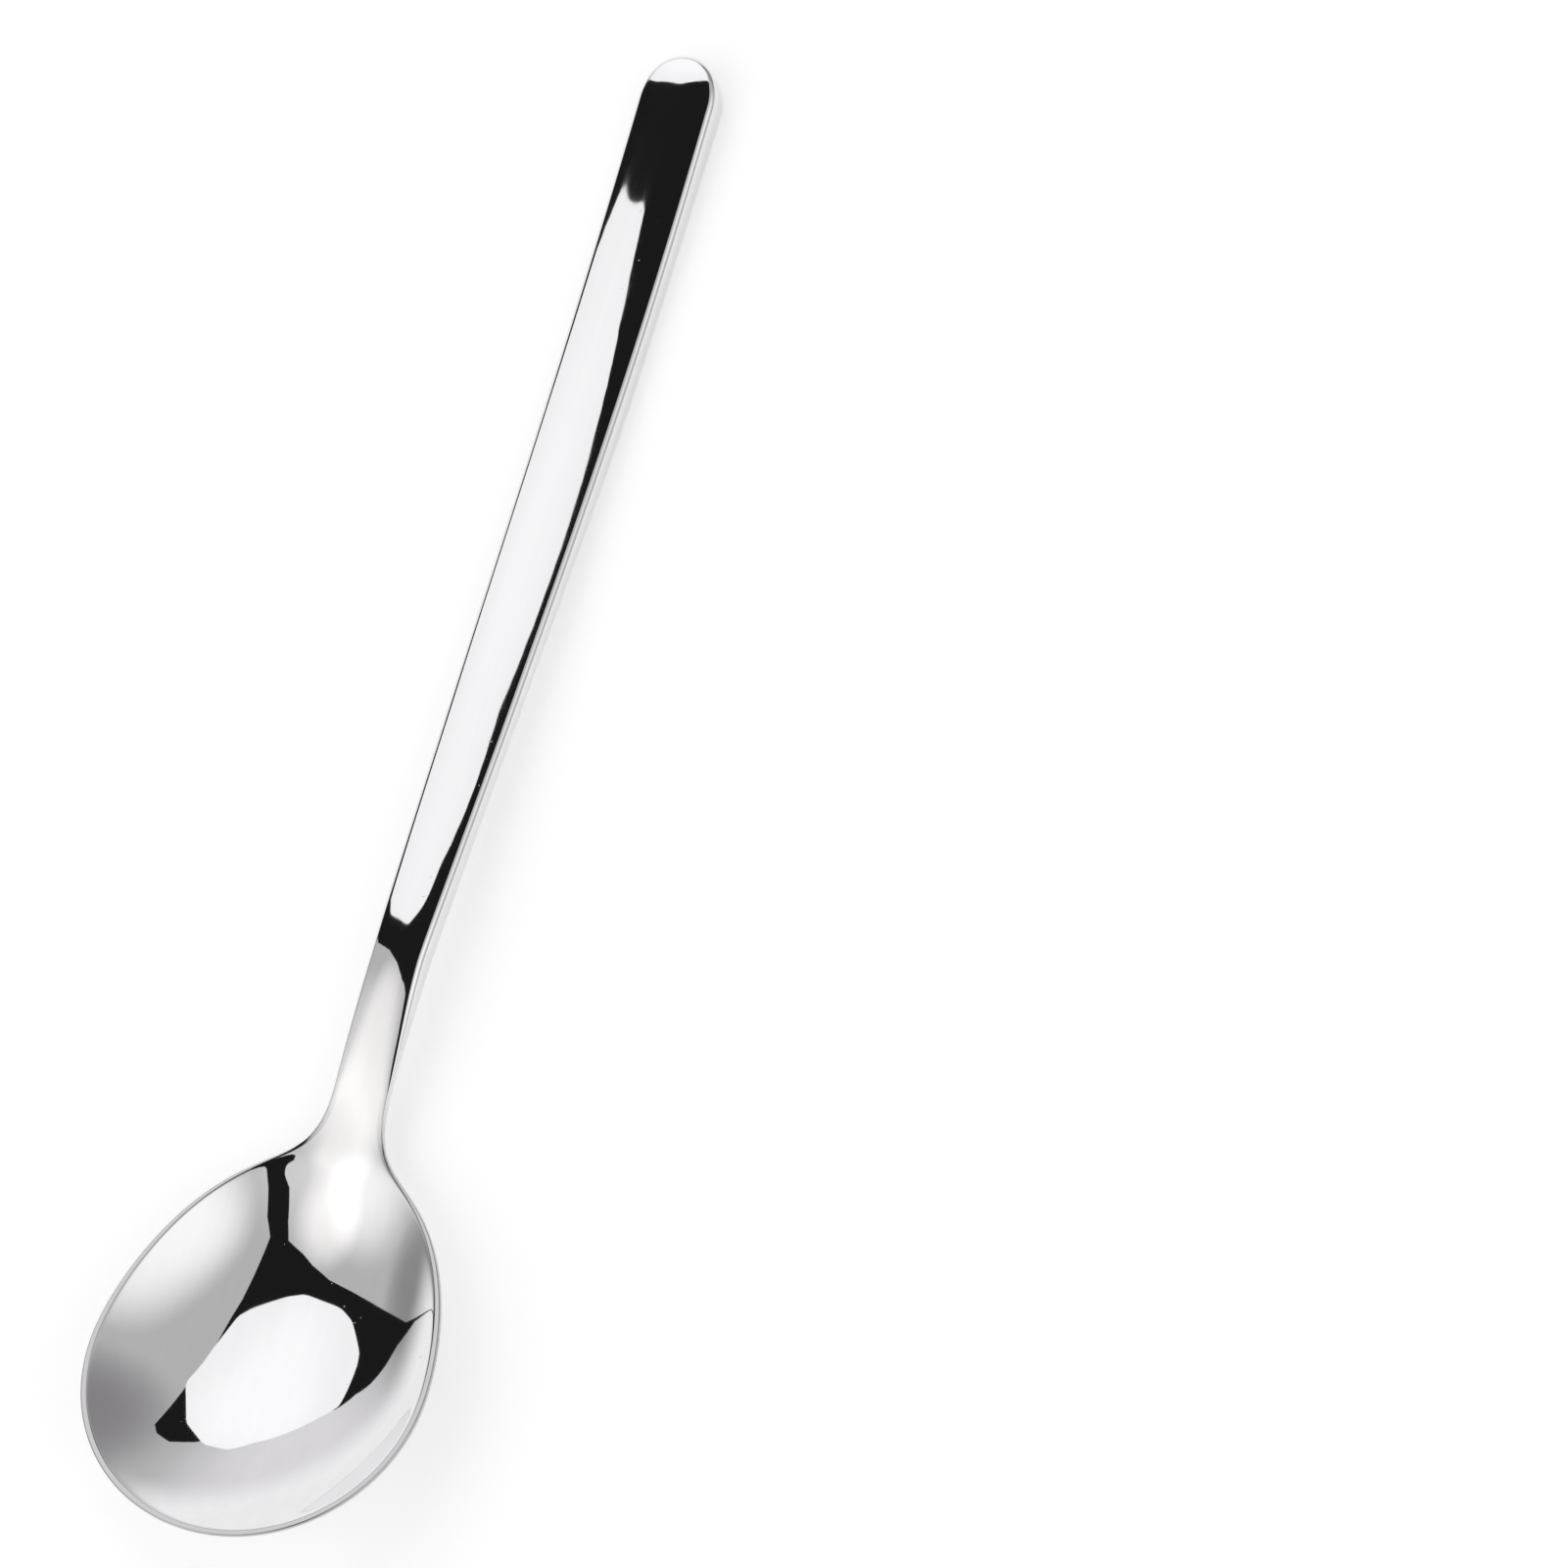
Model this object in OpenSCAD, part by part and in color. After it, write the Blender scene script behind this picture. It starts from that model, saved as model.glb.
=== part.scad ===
// Soup spoon pressed from one blank of stainless steel.
// The blank is drawn as three solids that meet face to face: bowl, neck and handle.
// Lengths are millimetres and angles are degrees.
// +X runs from the bowl to the handle's end, Y lies across the spoon and +Z is up.
// The spoon lies on the plane z = 0, with its box centred on the origin in X and Y.

/* [Bowl] */
// Width across the rim at the widest place
bowl_w = 43; // [36:0.5:48]
// Length from the bowl's tip to the widest place
bowl_tip_l = 21; // [18:0.5:24]
// Length from the widest place to where the sides have run into the neck
bowl_back_l = 36.5; // [33:0.5:41]
// Length behind the widest place over which the sides stay full
bowl_cheek_l = 10.9; // [9:0.1:12.5]
// Distance of the outline's rear corner behind the widest place
bowl_corner_l = 31.8; // [27:0.1:34]
// Length of the fillet that runs the outline into the neck
bowl_fillet_l = 15.2; // [11:0.1:18]
// Depth of the hollow below the rim
bowl_depth = 7.45; // [6:0.05:10]
// Fullness of the hollow towards the neck, against that at the widest place
hollow_back = 1.25; // [1:0.05:1.4]
// Angle of the rim to the table, tip up
bowl_tilt = 13.1; // [11:0.1:15]
// Thickness of the metal at the bowl's floor
floor_t = 1.1; // [0.9:0.05:1.6]

/* [Rim] */
// Width of the flat land along the rim
rim_w = 0.7; // [0.5:0.05:1.2]
// Height of the rim's outer edge
rim_t = 0.8; // [0.6:0.05:1.2]
// Radius on the edges of the rim
rim_r = 0.22; // [0.1:0.02:0.28]
// Length over which the rim sweeps up into the neck
rim_sweep_l = 11.5; // [8:0.5:15]

/* [Neck] */
// Width of the neck
neck_w = 7.2; // [6:0.1:9]
// Length of the neck from the bowl to the shoulder
neck_l = 17; // [12:0.5:21]
// Thickness of the neck where it leaves the bowl
neck_t = 1.1; // [0.9:0.05:1.8]
// Height of the neck's upper edges where it leaves the bowl
neck_z = 5.1; // [4.4:0.05:6]
// Angle at which the neck climbs from the bowl
neck_climb = 9; // [6:0.5:14]
// Radius on the upper edges of the neck
neck_r = 0.45; // [0.25:0.05:0.6]

// Distance before the shoulder at which the neck begins to turn over
knee_l = 4.5; // [3:0.5:7]
// Height of the upper edges at the knee
knee_z = 6.8; // [6.4:0.05:7]
// Angle at which the knee climbs
knee_climb = 6.2; // [4:0.1:8]

/* [Handle] */
// Length of the handle from the shoulder to its end
handle_l = 121; // [100:0.5:140]
// Greatest width of the handle
handle_w = 10.4; // [8:0.1:13]
// Length over which the handle widens from the neck's width
handle_taper_l = 105; // [80:1:112]
// Length of the round end
handle_end_l = 6.3; // [4:0.1:9]
// Height of the upper edges at the shoulder, the highest place
shoulder_z = 7.1; // [6.9:0.05:7.6]
// Angle at which the shoulder has begun to fall
shoulder_fall = 0.6; // [0:0.1:1.5]
// Thickness at the shoulder
shoulder_t = 2.7; // [2:0.05:3.4]
// Distance of the brow, where the handle has turned down, from the shoulder
brow_l = 10; // [7:0.5:14]
// Height of the upper edges at the brow
brow_z = 6.6; // [6.2:0.05:6.9]
// Angle at which the brow falls
brow_fall = 3.6; // [2.5:0.1:5]
// Distance of the waist, the thinnest place, from the shoulder
waist_l = 31.5; // [26:0.5:40]
// Height of the upper edges at the waist
waist_z = 5.15; // [4.7:0.05:5.6]
// Angle at which the waist falls towards the end
waist_fall = 3.3; // [2.5:0.1:4.2]
// Thickness at the waist
waist_t = 2.1; // [1.6:0.05:2.6]
// Length of the end that lies along the table
foot_l = 35.5; // [28:0.5:42]
// Height of the upper edges where the foot begins
foot_z = 2.85; // [2.4:0.05:3.2]
// Thickness at the end of the handle, below the crown
end_t = 4; // [3.5:0.05:4.5]
// Angle that the upper face's rise reaches at the end
end_climb = 3.6; // [1.5:0.1:4.5]
// Crown of the upper face above its edges where the handle is widest; it narrows with the handle
crown_h = 0.72; // [0.3:0.02:1]
// Length of the bowl's end on which the crown begins
crown_lead_l = 9; // [5:0.5:11]
// Length beyond the bowl over which the crown rises
crown_l = 4; // [2:0.5:12]
// Radius on the upper edges of the handle
handle_r = 0.75; // [0.4:0.05:1.2]
// Radius on the lower edges of the neck and handle
under_r = 0.45; // [0.2:0.05:0.6]

/* [Hidden] */
steel = [0.78, 0.79, 0.80];

// Rows of facets along each solid and columns across it
tip_rows = 10;
back_rows = 18;
neck_rows = 8;
straight_rows = 22;
end_rows = 6;
bowl_columns = 20;
bar_columns = 12;

// Stations along the spoon, measured from the bowl's tip
bowl_l = bowl_tip_l + bowl_back_l;
rim_end_x = bowl_l - rim_sweep_l;
shoulder_x = bowl_l + neck_l;
knee_x = shoulder_x - knee_l;
brow_x = shoulder_x + brow_l;
waist_x = shoulder_x + waist_l;
overall_l = shoulder_x + handle_l;
foot_x = overall_l - foot_l;
round_x = overall_l - handle_end_l;

bowl_half = bowl_w / 2;
neck_half = neck_w / 2;
handle_half = handle_w / 2;
rim_fall = tan(bowl_tilt);
under_depth = bowl_depth + floor_t - rim_t;

// Levels round an edge: 0 is the upper face, then its rounded edge, the wall and the lower face
upper = 0;
wall_top = 4;
lower = 7;
// Angle of the surface at a level, flat on the faces and 90 on the wall
function turn(level) =
    level <= wall_top ? 90 * (level - 1) / (wall_top - 1) : 90 * (lower - level) / (lower - wall_top - 1);
// Greatest radius of an upper and a lower edge as a share of the wall's height
full_upper = 0.66;
full_lower = 0.28;

// Smooth value between two stations, each [place, value, slope]
function between(a, b, x) =
    let (l = b[0] - a[0], t = (x - a[0]) / l)
    (1 + 2 * t) * pow(1 - t, 2) * a[1] + t * pow(1 - t, 2) * l * a[2]
    + t * t * (3 - 2 * t) * b[1] + t * t * (t - 1) * l * b[2];
function span_at(stations, x, k = 0) =
    k < len(stations) - 2 && x > stations[k + 1][0] ? span_at(stations, x, k + 1) : k;
function along(stations, x) =
    let (k = span_at(stations, x)) between(stations[k], stations[k + 1], x);

// Radius of the edges, and the width of the strip kept beside them
upper_radii = [[0, rim_r, 0], [rim_end_x, rim_r, 0], [bowl_l, neck_r, 0], [shoulder_x, handle_r, 0],
    [overall_l, handle_r, 0]];
lower_radii = [[0, rim_r, 0], [rim_end_x, rim_r, 0], [shoulder_x, under_r, 0], [overall_l, under_r, 0]];
strip_widths = [[0, rim_w, 0], [rim_end_x, rim_w, 0], [bowl_l, neck_r + rim_w / 2, 0],
    [shoulder_x, handle_r + rim_w / 2, 0], [overall_l, handle_r + rim_w / 2, 0]];
function edge_r(level, x) =
    level <= wall_top ? min(along(upper_radii, x), full_upper * along(edge_heights, x))
    : min(along(lower_radii, x), full_lower * along(edge_heights, x));
function inset(level, x) =
    level == upper ? along(strip_widths, x) : edge_r(level, x) * (1 - sin(turn(level)));

// Height of the edge's wall, share of the hollow and crown of the upper face
edge_heights = [[0, rim_t, 0], [rim_end_x, rim_t, 0], [bowl_l, neck_t, 0], [shoulder_x, shoulder_t, 0],
    [waist_x, waist_t, 0], [overall_l, end_t, 0]];
hollow_shares = [[0, 1, 0], [bowl_tip_l, 1, 0], [rim_end_x, hollow_back, 0], [bowl_l, hollow_back, 0],
    [shoulder_x, 0, 0], [overall_l, 0, 0]];
crowns = [[0, 0, 0], [bowl_l - crown_lead_l, 0, 0], [bowl_l + crown_l, crown_h, 0], [overall_l, crown_h, 0]];

// Half width of the neck and handle
function bar_half(x) =
    let (s = min(max((x - shoulder_x) / handle_taper_l, 0), 1))
    neck_half + (handle_half - neck_half) * (1 - pow(1 - s, 2));

// Outline of the bowl from its widest place to the neck, with the round tip's curvature carried on
bowl_corner_half = bowl_half * (1 - 4 / 3 * pow(bowl_cheek_l / bowl_tip_l, 2));
outline = [[0, bowl_half], [bowl_cheek_l, bowl_half], [bowl_corner_l, bowl_corner_half],
    [bowl_back_l - bowl_fillet_l, neck_half], [bowl_back_l, neck_half]];
function curve(points, t) =
    len(points) == 1 ? points[0]
    : curve([for (k = [0 : len(points) - 2]) points[k] * (1 - t) + points[k + 1] * t], t);

// Place in a round end, [along, across], from a square of -1 to 1
function round_end(p, q, reach, half) =
    [reach * p * sqrt(1 - q * q / 2), half * q * sqrt(1 - p * p / 2)];

// Plan of each solid: [x, y, share of the hollow's depth, share of the crown]
function bar_plan(x, q, level) =
    let (half = bar_half(x) - inset(level, x), full = bowl_half - inset(level, x))
    [x, q * half, pow(half / full, 2) * (1 - q * q), 1 - pow(q * half / bar_half(x), 2)];
function bowl_plan(i, q, level) =
    i <= tip_rows
    ? let (
        p = i / tip_rows - 1,
        cut = inset(level, 0),
        place = round_end(p, q, bowl_tip_l - cut, bowl_half - cut)
    ) [bowl_tip_l + place[0], place[1], (1 - p * p) * (1 - q * q), 0]
    : let (
        place = curve(outline, (i - tip_rows) / back_rows),
        x = bowl_tip_l + place[0],
        half = place[1] - inset(level, x),
        full = bowl_half - inset(level, x)
    ) [x, q * half, pow(half / full, 2) * (1 - q * q), 1 - pow(q * half / place[1], 2)];
function neck_plan(i, q, level) = bar_plan(bowl_l + neck_l * i / neck_rows, q, level);
function handle_plan(i, q, level) =
    i <= end_rows
    ? let (
        p = i / end_rows - 1,
        cut = inset(level, round_x),
        place = round_end(p, q, handle_end_l - cut, bar_half(round_x) - cut)
    ) [round_x - place[0], -place[1], 0,
        1 - pow(place[0] / handle_end_l, 4) - pow(place[1] / bar_half(round_x), 2)]
    : bar_plan(round_x - (round_x - shoulder_x) * (i - end_rows) / straight_rows, -q, level);

// Height of the rim at the tip, which sets the bowl's lowest point on the table
rim_tip_z = max([for (i = [0 : tip_rows + back_rows])
    let (plan = bowl_plan(i, 0, lower))
    rim_fall * plan[0] + rim_t + under_depth * plan[2] * along(hollow_shares, plan[0])]);

// Height of the upper edges along the spoon
edge_line = [[0, rim_tip_z, -rim_fall], [rim_end_x, rim_tip_z - rim_fall * rim_end_x, -rim_fall],
    [bowl_l, neck_z, tan(neck_climb)], [knee_x, knee_z, tan(knee_climb)],
    [shoulder_x, shoulder_z, -tan(shoulder_fall)], [brow_x, brow_z, -tan(brow_fall)],
    [waist_x, waist_z, -tan(waist_fall)], [foot_x, foot_z, 0],
    [overall_l, foot_z + foot_l * tan(end_climb) / 2, tan(end_climb)]];

// Point of a solid from its plan and its level round the edge
function raised(plan, level) =
    let (
        x = plan[0],
        edge = along(edge_line, x),
        under = max(0, edge - along(edge_heights, x)),
        hollow = plan[2] * along(hollow_shares, x),
        crown = along(crowns, x) * plan[3] * bar_half(min(x, round_x)) / handle_half,
        fall = edge_r(level, min(x, round_x)) * (1 - cos(turn(level))),
        z = level == upper ? edge + crown - bowl_depth * hollow
            : level <= wall_top ? edge + crown - fall
            : level < lower ? under + fall
            : max(0, under - under_depth * hollow)
    ) [x - overall_l / 2, plan[1], z];

// Closed solid from a plan function: row 0 is a round end or a flat cut, the last row is a flat cut
module pressed(plan, rows, columns, round_start) {
    across = [for (j = [0 : columns]) 2 * j / columns - 1];
    back = [for (j = [columns : -1 : 0]) 2 * j / columns - 1];
    loops = [for (i = [0 : rows]) concat(
        [for (q = across) raised(plan(i, q, upper), upper)],
        [for (level = [1 : lower - 1]) raised(plan(i, 1, level), level)],
        [for (q = back) raised(plan(i, q, lower), lower)],
        [for (level = [lower - 1 : -1 : 1]) raised(plan(i, -1, level), level)]
    )];
    nose = [for (level = [lower : -1 : upper]) [for (q = across) raised(plan(0, q, level), level)]];
    ring = len(loops[0]);
    width = columns + 1;
    skin_points = [for (loop = loops) each loop];
    nose_points = [for (row = nose) each row];
    first_nose = len(skin_points);
    skin_faces = [for (i = [0 : rows - 1], j = [0 : ring - 1])
        let (a = i * ring + j, b = i * ring + (j + 1) % ring)
        each [[a, b, b + ring], [a, b + ring, a + ring]]];
    nose_faces = [for (i = [0 : lower - 1], j = [0 : columns - 1])
        let (a = first_nose + i * width + j)
        each [[a, a + 1, a + 1 + width], [a, a + 1 + width, a + width]]];
    // A cut is closed by a strip of quads between the two faces and a fan at each edge
    first_right = columns;
    last_left = ring - 1;
    lower_left = ring - lower;
    cut = concat(
        [for (j = [0 : columns - 1]) [j, j + 1, lower_left - j - 1, lower_left - j]],
        [[for (k = [first_right : first_right + lower]) k], [for (k = [lower_left : last_left + 1]) k % ring]]
    );
    end_cap = [for (face = cut) [for (k = face) rows * ring + k]];
    start_cap = [for (face = cut) [for (k = [len(face) - 1 : -1 : 0]) face[k]]];
    points = round_start ? concat(skin_points, nose_points) : skin_points;
    faces = concat(skin_faces, end_cap, round_start ? nose_faces : start_cap);
    polyhedron(points, faces, convexity = 6);
}

module bowl() {
    plan = function (i, q, level) bowl_plan(i, q, level);
    color(steel) pressed(plan, tip_rows + back_rows, bowl_columns, true);
}

module neck() {
    plan = function (i, q, level) neck_plan(i, q, level);
    color(steel) pressed(plan, neck_rows, bar_columns, false);
}

module handle() {
    plan = function (i, q, level) handle_plan(i, q, level);
    color(steel) pressed(plan, end_rows + straight_rows, bar_columns, true);
}

bowl();
neck();
handle();
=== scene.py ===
"""Looks of the soup spoon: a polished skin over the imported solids, a small studio and a camera.

Lengths in the shape section are millimetres from the bowl's tip, as in the part's source.
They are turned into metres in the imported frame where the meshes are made.
"""

import math

import bmesh
import bpy
from mathutils import Matrix, Vector


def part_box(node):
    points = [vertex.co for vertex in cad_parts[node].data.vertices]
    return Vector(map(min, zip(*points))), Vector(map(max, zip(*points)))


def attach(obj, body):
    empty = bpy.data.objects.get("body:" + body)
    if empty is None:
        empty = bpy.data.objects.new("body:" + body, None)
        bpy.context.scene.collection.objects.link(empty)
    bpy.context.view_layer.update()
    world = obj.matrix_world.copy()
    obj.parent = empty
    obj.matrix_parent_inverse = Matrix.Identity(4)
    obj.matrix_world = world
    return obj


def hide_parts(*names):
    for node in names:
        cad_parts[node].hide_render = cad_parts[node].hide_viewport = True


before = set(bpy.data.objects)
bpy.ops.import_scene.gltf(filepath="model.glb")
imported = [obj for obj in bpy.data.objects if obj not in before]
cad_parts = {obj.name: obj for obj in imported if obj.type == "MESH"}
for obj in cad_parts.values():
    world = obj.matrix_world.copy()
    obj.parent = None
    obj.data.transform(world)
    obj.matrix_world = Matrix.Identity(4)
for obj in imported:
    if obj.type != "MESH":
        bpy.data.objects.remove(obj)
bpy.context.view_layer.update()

MM = 0.001

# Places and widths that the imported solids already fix
bowl_low, bowl_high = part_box("bowl")
_, neck_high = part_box("neck")
_, handle_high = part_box("handle")
TIP_X = bowl_low[0]
BOWL_L = (bowl_high[0] - TIP_X) / MM
SHOULDER_X = (neck_high[0] - TIP_X) / MM
OVERALL_L = (handle_high[0] - TIP_X) / MM
BOWL_HALF = bowl_high[1] / MM
NECK_HALF = neck_high[1] / MM
HANDLE_HALF = handle_high[1] / MM

# Bowl
BOWL_TIP_L = 21.0
BOWL_BACK_L = BOWL_L - BOWL_TIP_L
BOWL_CHEEK_L = 10.9
BOWL_CORNER_L = 31.8
BOWL_FILLET_L = 15.2
BOWL_DEPTH = 7.45
HOLLOW_BACK = 1.25
BOWL_TILT = math.radians(13.1)
FLOOR_T = 1.1

# Rim
RIM_W = 0.7
RIM_T = 0.8
RIM_R = 0.22
RIM_INNER_R = 0.16
RIM_END_L = 11.5
RIM_END_X = BOWL_L - RIM_END_L

# Neck, with an edge crisper than the solid's, which lets the dark line along it show
NECK_T = 1.1
NECK_Z = 5.1
NECK_CLIMB = math.radians(9)
NECK_R = 0.2
NECK_STRIP_W = 0.8
KNEE_L = 4.5
KNEE_X = SHOULDER_X - KNEE_L
KNEE_Z = 6.8
KNEE_CLIMB = math.radians(6.2)

# Handle
HANDLE_TAPER_L = 105.0
HANDLE_END_L = 6.3
HANDLE_R = 0.75
UNDER_R = 0.45
ROUND_X = OVERALL_L - HANDLE_END_L
SHOULDER_Z = 7.1
SHOULDER_FALL = math.radians(0.6)
SHOULDER_T = 2.7
BROW_L = 10.0
BROW_X = SHOULDER_X + BROW_L
BROW_Z = 6.6
BROW_FALL = math.radians(3.6)
WAIST_L = 31.5
WAIST_X = SHOULDER_X + WAIST_L
WAIST_Z = 5.15
WAIST_FALL = math.radians(3.3)
WAIST_T = 2.1
FOOT_L = 35.5
FOOT_X = OVERALL_L - FOOT_L
FOOT_Z = 2.85
END_T = 4.0
END_CLIMB = math.radians(3.6)
END_Z = FOOT_Z + FOOT_L * math.tan(END_CLIMB) / 2
CROWN_H = 0.72
CROWN_LEAD_L = 9.0
CROWN_L = 4.0

# Greatest radius of an upper and a lower edge as a share of the wall's height
FULL_UPPER = 0.66
FULL_LOWER = 0.28

# Fineness of the skin
TIP_ROWS = 44
BACK_ROWS = 84
NECK_ROWS = 36
STRAIGHT_ROWS = 150
END_ROWS = 22
COLUMNS = 56
ARC_STEPS = 7

RIM_FALL = math.tan(BOWL_TILT)
UNDER_DEPTH = BOWL_DEPTH + FLOOR_T - RIM_T

# Half width of the corner point that makes the outline bend alike on both sides of its widest row
CORNER_HALF = BOWL_HALF * (1 - 4 / 3 * (BOWL_CHEEK_L / BOWL_TIP_L) ** 2)


def between(a, b, x):
    """Smooth value between two stations, each (place, value, slope)."""
    length = b[0] - a[0]
    t = (x - a[0]) / length
    value = (1 + 2 * t) * (1 - t) ** 2 * a[1] + t * t * (3 - 2 * t) * b[1]
    return value + t * (1 - t) ** 2 * length * a[2] + t * t * (t - 1) * length * b[2]


def along(stations, x):
    """Smooth value at x on a run of stations."""
    k = 0
    while k < len(stations) - 2 and x > stations[k + 1][0]:
        k += 1
    return between(stations[k], stations[k + 1], x)


# Shares of the easing reach at which a run is read, with their weights
EASE_REACH = 5.0
EASE_PARTS = 4
EASE_STEPS = [k / EASE_PARTS for k in range(1 - EASE_PARTS, EASE_PARTS)]
EASE_WEIGHTS = [(1 - step * step) ** 2 for step in EASE_STEPS]


def eased(stations, x):
    """Value on a run of stations with its bends eased, so that reflections flow across them."""
    total = 0
    for step, weight in zip(EASE_STEPS, EASE_WEIGHTS):
        total += weight * along(stations, x + step * EASE_REACH)
    return total / sum(EASE_WEIGHTS)


# Runs of stations along the spoon, each (place, value, slope)
UPPER_RADII = [
    (0, RIM_R, 0),
    (RIM_END_X, RIM_R, 0),
    (BOWL_L, NECK_R, 0),
    (SHOULDER_X, HANDLE_R, 0),
    (OVERALL_L, HANDLE_R, 0),
]
LOWER_RADII = [
    (0, RIM_R, 0),
    (RIM_END_X, RIM_R, 0),
    (SHOULDER_X, UNDER_R, 0),
    (OVERALL_L, UNDER_R, 0),
]
STRIP_WIDTHS = [
    (0, RIM_W, 0),
    (RIM_END_X, RIM_W, 0),
    (BOWL_L, NECK_STRIP_W, 0),
    (SHOULDER_X, HANDLE_R + RIM_W / 2, 0),
    (OVERALL_L, HANDLE_R + RIM_W / 2, 0),
]
EDGE_HEIGHTS = [
    (0, RIM_T, 0),
    (RIM_END_X, RIM_T, 0),
    (BOWL_L, NECK_T, 0),
    (SHOULDER_X, SHOULDER_T, 0),
    (WAIST_X, WAIST_T, 0),
    (OVERALL_L, END_T, 0),
]
HOLLOWS = [
    (0, 1, 0),
    (BOWL_TIP_L, 1, 0),
    (RIM_END_X, HOLLOW_BACK, 0),
    (BOWL_L, HOLLOW_BACK, 0),
    (SHOULDER_X, 0, 0),
    (OVERALL_L, 0, 0),
]
CROWNS = [
    (0, 0, 0),
    (BOWL_L - CROWN_LEAD_L, 0, 0),
    (BOWL_L + CROWN_L, CROWN_H, 0),
    (OVERALL_L, CROWN_H, 0),
]

# Control points of the bowl's outline behind its widest row, each (reach, half width)
OUTLINE = [
    (0, BOWL_HALF),
    (BOWL_CHEEK_L, BOWL_HALF),
    (BOWL_CORNER_L, CORNER_HALF),
    (BOWL_BACK_L - BOWL_FILLET_L, NECK_HALF),
    (BOWL_BACK_L, NECK_HALF),
]


def curve(points, t):
    """Point on the curve that a run of control points pulls."""
    while len(points) > 1:
        points = [
            tuple(p * (1 - t) + q * t for p, q in zip(a, b))
            for a, b in zip(points, points[1:])
        ]
    return points[0]


def bar_half(x):
    """Half width of the neck and handle."""
    s = min(max((x - SHOULDER_X) / HANDLE_TAPER_L, 0), 1)
    return NECK_HALF + (HANDLE_HALF - NECK_HALF) * (1 - (1 - s) ** 2)


END_HALF = bar_half(ROUND_X)


def hollow_share(x, y, half, cut):
    """Share of the hollow's depth at a place, zero on the outline moved in by cut."""
    full = BOWL_HALF - cut
    if x < BOWL_TIP_L:
        reach = full**2 * (1 - ((x - BOWL_TIP_L) / (BOWL_TIP_L - cut)) ** 2)
    else:
        reach = (half - cut) * abs(half - cut)
    return (reach - y * y) / full**2


def softened(share, width):
    """Share with its corner at zero rounded over a width."""
    return (share + math.hypot(share, width)) / 2


def rim_tip_height():
    """Height of the rim's line at the tip, with the bowl's lowest point on the table."""
    steps = [curve(OUTLINE, k / BACK_ROWS) for k in range(BACK_ROWS + 1)]
    lifts = []
    for reach, half in steps:
        x = BOWL_TIP_L + reach
        hollow = hollow_share(x, 0, half, RIM_R) * along(HOLLOWS, x)
        lifts.append(RIM_FALL * x + RIM_T + UNDER_DEPTH * hollow)
    return max(lifts)


RIM_TIP_Z = rim_tip_height()
EDGE_LINE = [
    (0, RIM_TIP_Z, -RIM_FALL),
    (RIM_END_X, RIM_TIP_Z - RIM_FALL * RIM_END_X, -RIM_FALL),
    (BOWL_L, NECK_Z, math.tan(NECK_CLIMB)),
    (KNEE_X, KNEE_Z, math.tan(KNEE_CLIMB)),
    (SHOULDER_X, SHOULDER_Z, -math.tan(SHOULDER_FALL)),
    (BROW_X, BROW_Z, -math.tan(BROW_FALL)),
    (WAIST_X, WAIST_Z, -math.tan(WAIST_FALL)),
    (FOOT_X, FOOT_Z, 0),
    (OVERALL_L, END_Z, math.tan(END_CLIMB)),
]


class Row:
    """One row across the spoon: straight, or bent into one of the two round ends.

    Edges are read at x. A round end is its middle, its reach, its half width and the way it faces,
    and bend tells how far out in it the row lies.
    """

    def __init__(self, x, half, bend=None, round_end=None):
        self.x = x
        self.half = half
        self.bend = bend
        self.round_end = round_end

    def place(self, q, cut):
        """Plan point at a share q of the half width, on the outline moved in by cut."""
        if self.round_end is None:
            return self.x, q * (self.half - cut)
        middle, reach, half, facing = self.round_end
        x = middle + facing * (reach - cut) * self.bend * math.sqrt(1 - q * q / 2)
        y = q * (half - cut) * math.sqrt(1 - self.bend**2 / 2)
        return x, y


def spoon_rows():
    """All rows from the bowl's tip to the handle's end, with the joints' row numbers."""
    tip = (BOWL_TIP_L, BOWL_TIP_L, BOWL_HALF, -1)
    end = (ROUND_X, HANDLE_END_L, END_HALF, 1)
    rows = [Row(0, BOWL_HALF, 1 - k / TIP_ROWS, tip) for k in range(TIP_ROWS)]
    for k in range(BACK_ROWS + 1):
        reach, half = curve(OUTLINE, k / BACK_ROWS)
        rows.append(Row(BOWL_TIP_L + reach, half))
    bowl_end = len(rows) - 1
    for k in range(1, NECK_ROWS + 1):
        x = BOWL_L + (SHOULDER_X - BOWL_L) * k / NECK_ROWS
        rows.append(Row(x, bar_half(x)))
    neck_end = len(rows) - 1
    for k in range(1, STRAIGHT_ROWS + 1):
        x = SHOULDER_X + (ROUND_X - SHOULDER_X) * k / STRAIGHT_ROWS
        rows.append(Row(x, bar_half(x)))
    rows += [Row(ROUND_X, END_HALF, k / END_ROWS, end) for k in range(1, END_ROWS + 1)]
    return rows, bowl_end, neck_end


def local_half(x, half):
    """Half width that the crown spans at x."""
    return END_HALF if x > ROUND_X else half


def upper_radius(x):
    """Radius of the upper edge at x."""
    x = min(x, ROUND_X)
    return min(along(UPPER_RADII, x), FULL_UPPER * along(EDGE_HEIGHTS, x))


def lower_radius(x):
    """Radius of the lower edge at x."""
    x = min(x, ROUND_X)
    return min(along(LOWER_RADII, x), FULL_LOWER * along(EDGE_HEIGHTS, x))


def upper_face(x, y, half):
    """Height of the upper face, without its rounded edge."""
    strip = along(STRIP_WIDTHS, x)
    width = 2 * RIM_INNER_R / (BOWL_HALF - strip)
    hollow = softened(hollow_share(x, y, half, strip), width) * eased(HOLLOWS, x)
    past = max(0, x - ROUND_X) / HANDLE_END_L
    share = max(0, 1 - past**4 - (y / local_half(x, half)) ** 2)
    crown = eased(CROWNS, x) * share * bar_half(min(x, ROUND_X)) / HANDLE_HALF
    return eased(EDGE_LINE, x) + crown - BOWL_DEPTH * hollow


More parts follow.
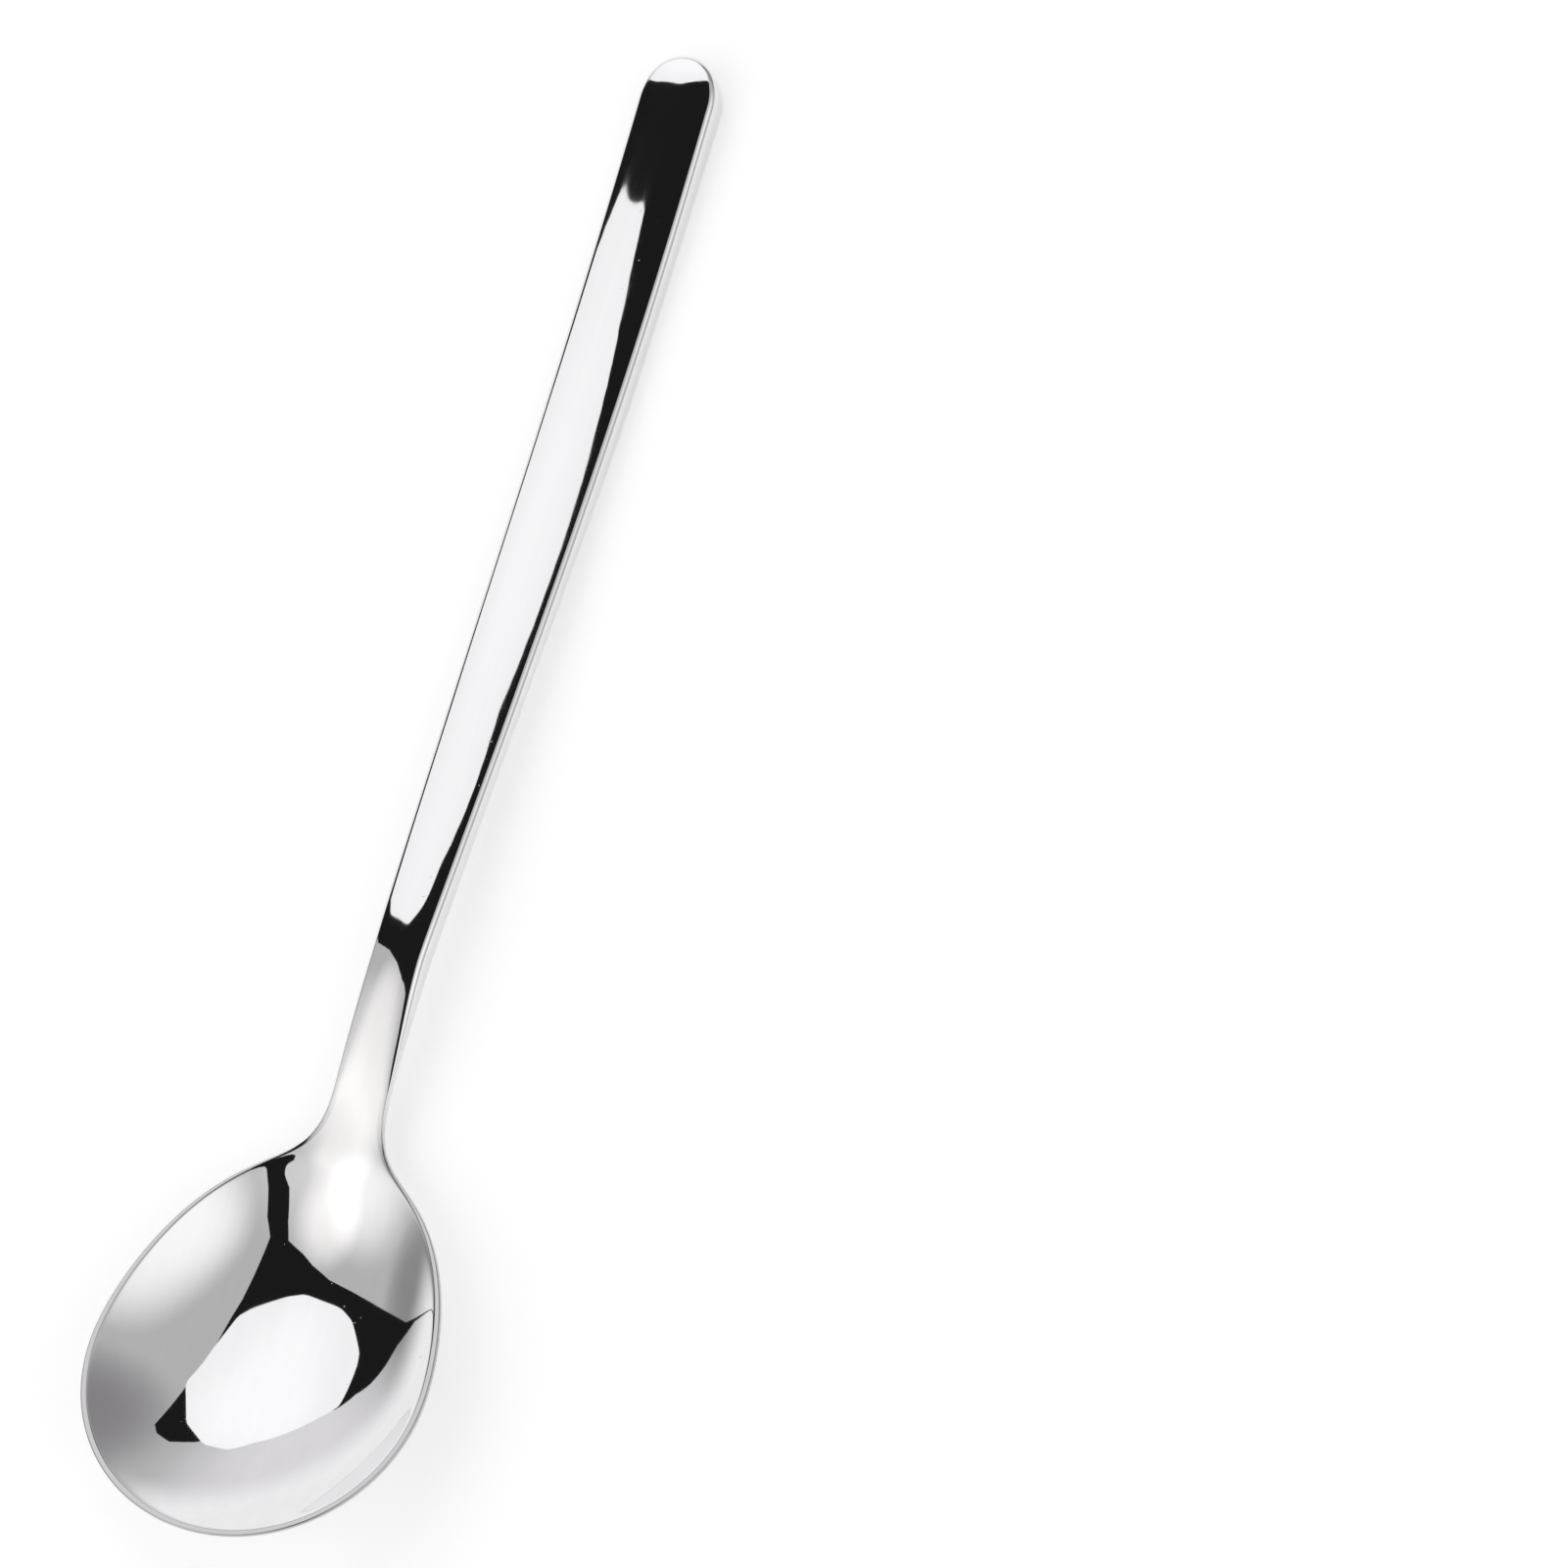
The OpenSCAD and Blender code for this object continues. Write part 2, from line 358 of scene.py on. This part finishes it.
def lower_face(x, y, half):
    """Height of the lower face, without its rounded edge."""
    under = max(0, eased(EDGE_LINE, x) - eased(EDGE_HEIGHTS, x))
    hollow = max(0, hollow_share(x, y, half, 0)) * eased(HOLLOWS, x)
    return under - UNDER_DEPTH * hollow


# Levels about the strip's inner line, as shares of the inner rounding
INNER_SHARES = [3.0, 1.6, 0.8, 0.3, 0.0, -0.3, -0.8]
INNER_LEVELS = len(INNER_SHARES)
STRIP_LEVEL = INNER_SHARES.index(0.0)
UPPER = 1
LOWER = -1


def level_cuts():
    """Levels from the upper face round the edge to the lower face: (face, cut, lift) by place.

    A cut is how far in from the outline a level lies, and a lift how far it stands from its face.
    """
    levels = []
    for share in INNER_SHARES:
        levels.append((
            UPPER,
            lambda x, s=share: along(STRIP_WIDTHS, x) + s * 2 * RIM_INNER_R,
            lambda x: 0,
        ))
    turns = [math.pi / 2 * k / ARC_STEPS for k in range(ARC_STEPS + 1)]
    for turn in reversed(turns):
        levels.append((
            UPPER,
            lambda x, t=turn: upper_radius(x) * (1 - math.cos(t)),
            lambda x, t=turn: -upper_radius(x) * (1 - math.sin(t)),
        ))
    for turn in turns:
        levels.append((
            LOWER,
            lambda x, t=turn: lower_radius(x) * (1 - math.cos(t)),
            lambda x, t=turn: lower_radius(x) * (1 - math.sin(t)),
        ))
    return levels


LEVELS = level_cuts()
LAST_LEVEL = len(LEVELS) - 1


def raised(row, q, level):
    """Point of the skin on a row, at share q of the width and a level round the edge."""
    face, cut, lift = LEVELS[level]
    x, y = row.place(q, cut(row.x))
    if face == UPPER:
        z = upper_face(x, y, row.half) + lift(row.x)
    else:
        z = max(0, lower_face(x, y, row.half) + lift(row.x))
    return Vector((TIP_X + x * MM, y * MM, z * MM))


def level_wear(level):
    """One on the rounded edges, where handling wears the polish, and zero on the faces."""
    return 1.0 if INNER_LEVELS <= level < LAST_LEVEL else 0.0


def rim_dull_and_shaded_share(point, level):
    """One on the bowl's ground rim and its outer edge, fading out towards the neck, and zero
    elsewhere: there the steel is duller, and its colour is darkened with painted shade, a painted
    dark reflection along the outline.
    """
    if not STRIP_LEVEL <= level < LAST_LEVEL:
        return 0.0
    x = (point.x - TIP_X) / MM
    return min(max((BOWL_L - x) / RIM_END_L, 0.0), 1.0)


def skin_mesh():
    """Points, faces with their rows, finish of each point, the joints' rows and the size of a ring.

    A ring runs round one row, over both faces.
    A point's finish is its wear and its share of the rim, where the colour is darkened with painted
    shade.
    """
    rows, bowl_end, neck_end = spoon_rows()
    across = [2 * j / COLUMNS - 1 for j in range(COLUMNS + 1)]
    slots = [(q, 0) for q in across]
    slots += [(1, level) for level in range(1, LAST_LEVEL)]
    slots += [(q, LAST_LEVEL) for q in reversed(across)]
    slots += [(-1, level) for level in range(LAST_LEVEL - 1, 0, -1)]
    ring = len(slots)
    points = []
    finish = []

    def add_point(row, q, level):
        """Adds a point of the skin and its finish."""
        point = raised(row, q, level)
        points.append(point)
        finish.append((level_wear(level), rim_dull_and_shaded_share(point, level)))

    for row in rows:
        for q, level in slots:
            add_point(row, q, level)
    faces = []
    for i in range(len(rows) - 1):
        for j in range(ring):
            a, b = i * ring + j, i * ring + (j + 1) % ring
            faces.append(((a, b, b + ring, a + ring), i))
    # Each round end is closed by rows of its own between the two faces
    lower_start = len(across) + LAST_LEVEL - 1
    for row_number in (0, len(rows) - 1):
        base = row_number * ring
        upper_row = [base + j for j in range(len(across))]
        lower_row = [base + lower_start + j for j in range(len(across))][::-1]
        nose = [upper_row]
        for level in range(1, LAST_LEVEL):
            right = base + len(across) + level - 1
            left = base + ring - level
            inner = []
            for q in across[1:-1]:
                inner.append(len(points))
                add_point(rows[row_number], q, level)
            nose.append([left] + inner + [right])
        nose.append(lower_row)
        for a, b in zip(nose, nose[1:]):
            for j in range(len(across) - 1):
                quad = (a[j], b[j], b[j + 1], a[j + 1])
                if row_number:
                    quad = quad[::-1]
                faces.append((quad, max(row_number - 1, 0)))
    return points, faces, finish, (bowl_end, neck_end), ring


def part_pieces():
    """Makes the three pieces from one smooth skin, each closed at its cuts by a hidden flat face.

    The whole skin's normals are kept, so that the joints don't show.
    """
    points, faces, finish, (bowl_end, neck_end), ring = skin_mesh()
    whole = bmesh.new()
    corners = [whole.verts.new(p) for p in points]
    for quad, _ in faces:
        whole.faces.new([corners[k] for k in quad])
    whole.normal_update()
    normals = [v.normal.copy() for v in corners]
    whole.free()
    made = {}
    spans = {"bowl": (0, bowl_end), "neck": (bowl_end, neck_end), "handle": (neck_end, None)}
    for node, (first, stop) in spans.items():
        chosen = [quad for quad, row in faces if row >= first and (stop is None or row < stop)]
        caps = []
        if first:
            caps.append(([first * ring + j for j in reversed(range(ring))], Vector((-1, 0, 0))))
        if stop:
            caps.append(([stop * ring + j for j in range(ring)], Vector((1, 0, 0))))
        used = sorted({k for quad in chosen for k in quad})
        place = {k: n for n, k in enumerate(used)}
        outlines = chosen + [loop for loop, _ in caps]
        polygons = [[place[k] for k in loop] for loop in outlines]
        mesh = bpy.data.meshes.new("spoon_" + node)
        mesh.from_pydata([points[k] for k in used], [], polygons)
        mesh.polygons.foreach_set("use_smooth", [True] * len(mesh.polygons))
        turned = [normals[k] for quad in chosen for k in quad]
        turned += [facing for loop, facing in caps for _ in loop]
        mesh.normals_split_custom_set(turned)
        for kind, name in enumerate(("wear", "rim")):
            values = mesh.attributes.new(name, "FLOAT", "POINT")
            values.data.foreach_set("value", [finish[k][kind] for k in used])
        piece = bpy.data.objects.new("spoon_" + node, mesh)
        bpy.context.scene.collection.objects.link(piece)
        made[node] = piece
    return made


pieces = part_pieces()


class Nodes:
    """Small helper that adds nodes to a tree and links what is handed to their sockets."""

    def __init__(self, tree):
        self.tree = tree

    def add(self, kind, inputs=None, **settings):
        """New node with its settings, then its inputs, each by its socket's name or number."""
        node = self.tree.nodes.new(kind)
        for name, value in settings.items():
            setattr(node, name, value)
        for socket, value in (inputs or {}).items():
            self.put(node.inputs[socket], value)
        return node

    def put(self, socket, value):
        """Links another node's output to a socket, or sets the socket's own value."""
        if isinstance(value, bpy.types.NodeSocket):
            self.tree.links.new(value, socket)
        else:
            socket.default_value = value

    def math(self, operation, first, second=0.0):
        """Result of one operation on two values."""
        return self.add("ShaderNodeMath", {0: first, 1: second}, operation=operation).outputs[0]

    def added(self, total, value, share):
        """Total with a share of a value added."""
        return self.math("ADD", total, self.math("MULTIPLY", value, share))

    def ramp(self, value, low, high, out_low=0.0, out_high=1.0, smooth=True):
        """Result that goes from out_low to out_high while a value goes from low to high."""
        inputs = {
            "Value": value,
            "From Min": low,
            "From Max": high,
            "To Min": out_low,
            "To Max": out_high,
        }
        style = "SMOOTHSTEP" if smooth else "LINEAR"
        return self.add("ShaderNodeMapRange", inputs, interpolation_type=style).outputs[0]

    def mix(self, share, first, second):
        """Colour that goes from the first to the second with a share."""
        inputs = {"Factor": share, "A": first, "B": second}
        return self.add("ShaderNodeMix", inputs, data_type="RGBA").outputs["Result"]

    def scaled(self, vector, scale):
        """Places stretched by a scale in each direction."""
        inputs = {"Vector": vector, "Scale": scale}
        return self.add("ShaderNodeMapping", inputs).outputs[0]

    def noise(self, vector, scale, detail=2.0, rough=0.5):
        """Cloudy pattern over places."""
        inputs = {"Vector": vector, "Scale": scale, "Detail": detail, "Roughness": rough}
        return self.add("ShaderNodeTexNoise", inputs).outputs["Fac"]


# Steel: its colours, with a dark one painted on the rim as painted shade, and how far streaks and
# wear take it from clear to streaked
STEEL_CLEAR = (0.81, 0.81, 0.815, 1)
STEEL_STREAKED = (0.785, 0.78, 0.785, 1)
# Dark steel colour painted on the bowl's rim and outer edge: painted shade, a painted dark
# reflection along the outline
STEEL_RIM_PAINTED_SHADE = (0.5, 0.495, 0.5, 1)
STREAK_MOST = 0.8
WORN_MOST = 0.4

# Patterns in the polish: scales are per millimetre, spans are pattern values that a mark fades over
CLOUD_SCALE = 0.09
CLOUD_SPAN = (0.3, 0.7)
GRAIN_STRETCH = (0.25, 3.2, 3.2)
GRAIN_SCALE = 2.2
GRAIN_SPAN = (0.35, 0.75)
STREAK_STRETCH = (0.008, 0.55, 0.55)
STREAK_SCALE = 1.0
STREAK_SPAN = (0.35, 0.7)
SPECK_SCALE = 0.45
SPECK_SPAN = (0.015, 0.04)
WORN_SCALE = 0.7
WORN_SPAN = (0.4, 0.7)
WAVE_SCALE = 0.16
MARK_STRETCH = (0.12, 1.0, 1.0)
MARK_AREA_SCALE = 0.16
MARK_AREA_SPAN = (0.5, 0.62)
FINE_DETAIL = 3.0
FINE_ROUGH = 0.6

# Runs of scratches: turn in radians, spacing and width in millimetres
LENGTHWISE_MARKS = (0.35, 2.6, 0.05)
CROSSWISE_MARKS = (1.25, 3.4, 0.045)

# Roughness that each pattern brings
CLOUD_ROUGH = (0.012, 0.03)
GRAIN_ROUGH = 0.012
MARK_ROUGH = 0.16
SPECK_ROUGH = 0.22
WORN_ROUGH = 0.06
RIM_ROUGH = 0.08

# Relief that each pattern brings, counted in steps of this height
RELIEF_STEP = 0.004 * MM
WAVE_RELIEF = 1.5
MARK_RELIEF = -0.35
SPECK_RELIEF = -0.6


def scratches(nodes, place, turn, spacing, width):
    """Thin straight marks that lie about one direction and start and stop at random."""
    inputs = {"Vector": place, "Angle": turn}
    turned = nodes.add("ShaderNodeVectorRotate", inputs, rotation_type="Z_AXIS")
    stretched = nodes.scaled(turned.outputs[0], MARK_STRETCH)
    cells = nodes.add(
        "ShaderNodeTexVoronoi",
        {"Vector": stretched, "Scale": 1 / spacing, "Randomness": 1.0},
        feature="F1",
        voronoi_dimensions="2D",
    )
    line = nodes.ramp(cells.outputs["Distance"], 0.0, width / spacing, 1.0, 0.0)
    area = nodes.ramp(nodes.noise(place, MARK_AREA_SCALE), *MARK_AREA_SPAN)
    return nodes.math("MULTIPLY", line, area)


def steel_material():
    """Mirror-polished steel with a cloudy polish, fine lines, scratches, specks, worn edges, and
    painted shade darkening the rim.
    """
    material = bpy.data.materials.new("polished_steel")
    material.use_nodes = True
    tree = material.node_tree
    nodes = Nodes(tree)
    shader = tree.nodes["Principled BSDF"]
    shader.inputs["Metallic"].default_value = 1
    # Places on the steel in millimetres
    metres = nodes.add("ShaderNodeTexCoord").outputs["Object"]
    place = nodes.scaled(metres, (1 / MM, 1 / MM, 1 / MM))
    cloud = nodes.noise(place, CLOUD_SCALE, FINE_DETAIL)
    fibres = nodes.scaled(place, GRAIN_STRETCH)
    grain = nodes.noise(fibres, GRAIN_SCALE, FINE_DETAIL, FINE_ROUGH)
    bands = nodes.scaled(place, STREAK_STRETCH)
    streaks = nodes.noise(bands, STREAK_SCALE, FINE_DETAIL, FINE_ROUGH)
    cells = nodes.add(
        "ShaderNodeTexVoronoi",
        {"Vector": place, "Scale": SPECK_SCALE, "Randomness": 1.0},
        feature="F1",
    )
    specks = nodes.ramp(cells.outputs["Distance"], *SPECK_SPAN, 1.0, 0.0)
    lengthwise = scratches(nodes, place, *LENGTHWISE_MARKS)
    crosswise = scratches(nodes, place, *CROSSWISE_MARKS)
    marks = nodes.math("MAXIMUM", lengthwise, crosswise)
    wear = nodes.add("ShaderNodeAttribute", attribute_name="wear").outputs["Fac"]
    patches = nodes.ramp(nodes.noise(place, WORN_SCALE, FINE_DETAIL), *WORN_SPAN)
    worn = nodes.math("MULTIPLY", wear, patches)
    rim = nodes.add("ShaderNodeAttribute", attribute_name="rim").outputs["Fac"]
    # Colour, much darker on the rim and its outer edge: painted shade, a painted dark reflection
    # along the bowl's outline
    tone = nodes.added(nodes.ramp(streaks, *STREAK_SPAN, 0.0, STREAK_MOST, False), worn, WORN_MOST)
    polished = nodes.mix(tone, STEEL_CLEAR, STEEL_STREAKED)
    # Painted shade: the rim's colour goes towards the dark one
    nodes.put(shader.inputs["Base Color"], nodes.mix(rim, polished, STEEL_RIM_PAINTED_SHADE))
    # Roughness, a little duller on the ground rim
    rough = nodes.ramp(cloud, *CLOUD_SPAN, *CLOUD_ROUGH, False)
    rough = nodes.math("ADD", rough, nodes.ramp(grain, *GRAIN_SPAN, 0.0, GRAIN_ROUGH, False))
    rough = nodes.added(rough, marks, MARK_ROUGH)
    rough = nodes.added(rough, specks, SPECK_ROUGH)
    rough = nodes.added(rough, worn, WORN_ROUGH)
    rough = nodes.added(rough, rim, RIM_ROUGH)
    nodes.put(shader.inputs["Roughness"], rough)
    # Relief
    relief = nodes.math("MULTIPLY", nodes.noise(place, WAVE_SCALE, 1.0), WAVE_RELIEF)
    relief = nodes.added(relief, marks, MARK_RELIEF)
    relief = nodes.added(relief, specks, SPECK_RELIEF)
    inputs = {"Strength": 1.0, "Distance": RELIEF_STEP, "Height": relief}
    nodes.put(shader.inputs["Normal"], nodes.add("ShaderNodeBump", inputs).outputs[0])
    return material


steel = steel_material()
for node, piece in pieces.items():
    piece.data.materials.append(steel)
    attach(piece, "root")
    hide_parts(node)


# Studio: an eight-sided softbox and a black flag far off, set round a spot, and a pale sky
SPOT = Vector((0, 0, 5 * MM))
WHITE = (1, 1, 1, 1)

# Places on the map of the sky, in degrees from straight up, towards the handle and across the spoon
SOFTBOX = [
    (29, -9.4), (23, -6), (21.2, -2), (19.5, 3.5), (17.2, 11.5), (15.6, 19.5), (16.8, 41),
    (18.8, 49), (24.3, 58.6), (36.7, 57), (63.6, 23), (64.4, 12.2), (58.5, -0.3), (43, -11.3),
]
SOFTBOX_FAR = 40.0
SOFTBOX_CORNER = 0.1
SOFTBOX_TINT = (1, 1, 1.01, 1)
SOFTBOX_MIDDLE = (42, 22)
SOFTBOX_REACH = 30.0
SOFTBOX_EDGE = 1.08
SOFTBOX_CORE = 1.2
FLAG = [
    (9, 90), (14.5, 77.5), (12.8, 55.5), (11.3, 42), (9.7, 30), (5.9, 18), (2.3, 10.8), (0, 5),
    (-1.6, 1.3), (-8.8, -1.7), (-18, -4.2), (-21, -5), (-26, -11), (-27, -19), (-19, -15.6),
    (-8.9, -12.7), (-1.5, -8.4), (19.6, -8), (43, -10.2), (62.4, -8.8), (65.2, -5.7), (67, 0.7),
    (64.4, 9), (50, 25), (36.8, 56.6), (30.5, 62.5), (27.3, 67.7), (23.5, 72.3), (19.5, 75.5),
    (13.5, 82),
]
FLAG_FAR = 80.0
FLAG_GLOW = 0.012

# Sky: a base tone with soft brighter and darker places, each (place on the map, reach, tint)
SKY_BASE = (0.54, 0.54, 0.545)
SKY_PLACES = [
    ((-0.8, -44.4), 30, (0.63, 0.62, 0.61)),
    ((-49.5, 15), 57, (0.30, 0.29, 0.285)),
    ((-12.5, 21), 22, (0.42, 0.405, 0.39)),
    ((-28, 43), 31, (0.40, 0.395, 0.385)),
    ((59, 50), 38, (0.31, 0.29, 0.31)),
    ((65.3, -34), 30, (-0.26, -0.27, -0.265)),
    ((6, 79), 18, (-0.24, -0.24, -0.245)),
]

# Haze that the sky fades into over one side of the horizon: its tone, its middle on the map,
# the degrees from there at which it starts and is full, and the sine of the angle it rises to
HAZE = (1.04, 1.03, 1.04, 1)
HAZE_SIDE = (64, 64)
HAZE_REACH = (65, 38)
HAZE_TOP = 0.2


def toward(x, y):
    """Direction at a place on the map of the sky."""
    zenith = math.radians(math.hypot(x, y))
    azimuth = math.atan2(y, x)
    flat = math.sin(zenith)
    return Vector((flat * math.cos(azimuth), flat * math.sin(azimuth), math.cos(zenith)))


def spread(nodes, ray, place, outer, inner=0.0, far=0.0, near=1.0):
    """Value that goes smoothly from far to near as a ray turns towards a place on the map.

    It starts to change at outer and stops at inner, both in degrees from the place.
    """
    inputs = {0: ray, 1: toward(*place)}
    facing = nodes.add("ShaderNodeVectorMath", inputs, operation="DOT_PRODUCT").outputs["Value"]
    low, high = [math.cos(math.radians(reach)) for reach in (outer, inner)]
    return nodes.ramp(facing, low, high, far, near)


def rounded(corners, share):
    """Outline with its corners cut, twice over."""
    for _ in range(2):
        cut = []
        for a, b in zip(corners, corners[1:] + corners[:1]):
            cut.append(tuple(p + (q - p) * share for p, q in zip(a, b)))
            cut.append(tuple(q + (p - q) * share for p, q in zip(a, b)))
        corners = cut
    return corners


def card(name, corners, far, material):
    """Flat card whose corners stand at places on the map of the sky."""
    rays = [toward(*corner) for corner in corners]
    middle = sum(rays, Vector()).normalized()
    points = [SPOT + ray * (far / ray.dot(middle)) for ray in rays]
    mesh = bpy.data.meshes.new(name)
    mesh.from_pydata(points, [], [list(range(len(points)))])
    mesh.materials.append(material)
    board = bpy.data.objects.new(name, mesh)
    bpy.context.scene.collection.objects.link(board)
    board.visible_camera = False
    board.visible_shadow = False


def glow(name, strength, color):
    """Material that only gives light."""
    material = bpy.data.materials.new(name)
    material.use_nodes = True
    tree = material.node_tree
    tree.nodes.clear()
    nodes = Nodes(tree)
    emission = nodes.add("ShaderNodeEmission", {"Color": color, "Strength": strength})
    nodes.add("ShaderNodeOutputMaterial", {"Surface": emission.outputs[0]})
    return material


def softbox_glow():
    """Glow of the softbox's cloth, brightest at its middle."""
    material = glow("softbox_cloth", SOFTBOX_EDGE, SOFTBOX_TINT)
    tree = material.node_tree
    nodes = Nodes(tree)
    place = nodes.add("ShaderNodeTexCoord").outputs["Object"]
    ray = nodes.add("ShaderNodeVectorMath", {0: place}, operation="NORMALIZE").outputs[0]
    strength = spread(
        nodes, ray, SOFTBOX_MIDDLE, SOFTBOX_REACH, far=SOFTBOX_EDGE, near=SOFTBOX_CORE
    )
    nodes.put(tree.nodes["Emission"].inputs["Strength"], strength)
    return material


def sky():
    """World with the sky's base tone, its soft places and the haze at one side."""
    world = bpy.data.worlds.new("studio")
    bpy.context.scene.world = world
    world.use_nodes = True
    tree = world.node_tree
    nodes = Nodes(tree)
    ray = nodes.add("ShaderNodeTexCoord").outputs["Generated"]
    total = SKY_BASE
    for place, reach, tint in SKY_PLACES:
        inputs = {0: tint, "Scale": spread(nodes, ray, place, reach)}
        light = nodes.add("ShaderNodeVectorMath", inputs, operation="SCALE").outputs[0]
        total = nodes.add("ShaderNodeVectorMath", {0: light, 1: total}, operation="ADD").outputs[0]
    height = nodes.add("ShaderNodeSeparateXYZ", {0: ray}).outputs["Z"]
    low = nodes.ramp(height, 0.0, HAZE_TOP, 1.0, 0.0)
    beside = spread(nodes, ray, HAZE_SIDE, *HAZE_REACH)
    faded = nodes.mix(nodes.math("MULTIPLY", low, beside), total, HAZE)
    nodes.put(tree.nodes["Background"].inputs["Color"], faded)


card("softbox", rounded(SOFTBOX, SOFTBOX_CORNER), SOFTBOX_FAR, softbox_glow())
card("black_flag", FLAG, FLAG_FAR, glow("flag_black", FLAG_GLOW, WHITE))
sky()

# Floor
FLOOR_HALF = 8.0
FLOOR_DROP = 0.05 * MM
FLOOR_TONE = (0.9, 0.9, 0.9, 1)
FLOOR_ROUGH = 0.9
FLOOR_LIFT = 0.335


def lay_floor():
    """Large pale floor, lifted to white where it is seen directly or in the steel."""
    mesh = bpy.data.meshes.new("floor")
    reach = FLOOR_HALF
    outline = [(-reach, -reach, 0), (reach, -reach, 0), (reach, reach, 0), (-reach, reach, 0)]
    mesh.from_pydata(outline, [], [(0, 1, 2, 3)])
    floor = bpy.data.objects.new("floor", mesh)
    floor.location.z = -FLOOR_DROP
    bpy.context.scene.collection.objects.link(floor)
    material = bpy.data.materials.new("floor_paper")
    material.use_nodes = True
    tree = material.node_tree
    nodes = Nodes(tree)
    shader = tree.nodes["Principled BSDF"]
    shader.inputs["Base Color"].default_value = FLOOR_TONE
    shader.inputs["Roughness"].default_value = FLOOR_ROUGH
    shader.inputs["Emission Color"].default_value = WHITE
    path = nodes.add("ShaderNodeLightPath")
    seen = nodes.math("MAXIMUM", path.outputs["Is Camera Ray"], path.outputs["Is Glossy Ray"])
    seen = nodes.math("MAXIMUM", seen, path.outputs["Is Transmission Ray"])
    nodes.put(shader.inputs["Emission Strength"], nodes.math("MULTIPLY", seen, FLOOR_LIFT))
    mesh.materials.append(material)


lay_floor()

# Camera at the photograph's viewing angle
CAMERA_PLACE = Vector((-168.41, -285.0, 698.12)) * MM
CAMERA_TARGET = Vector((8.95, -38.63, 0)) * MM
CAMERA_ROLL = math.radians(-39.8625)
CAMERA_FIELD = math.radians(14.19)

camera_data = bpy.data.cameras.new("camera")
camera_data.angle = CAMERA_FIELD
camera = bpy.data.objects.new("camera", camera_data)
bpy.context.scene.collection.objects.link(camera)
looking = (CAMERA_TARGET - CAMERA_PLACE).to_track_quat("-Z", "Y").to_matrix().to_4x4()
rolled = looking @ Matrix.Rotation(CAMERA_ROLL, 4, "Z")
camera.matrix_world = Matrix.Translation(CAMERA_PLACE) @ rolled
bpy.context.scene.camera = camera

bpy.context.scene.view_settings.view_transform = "Standard"
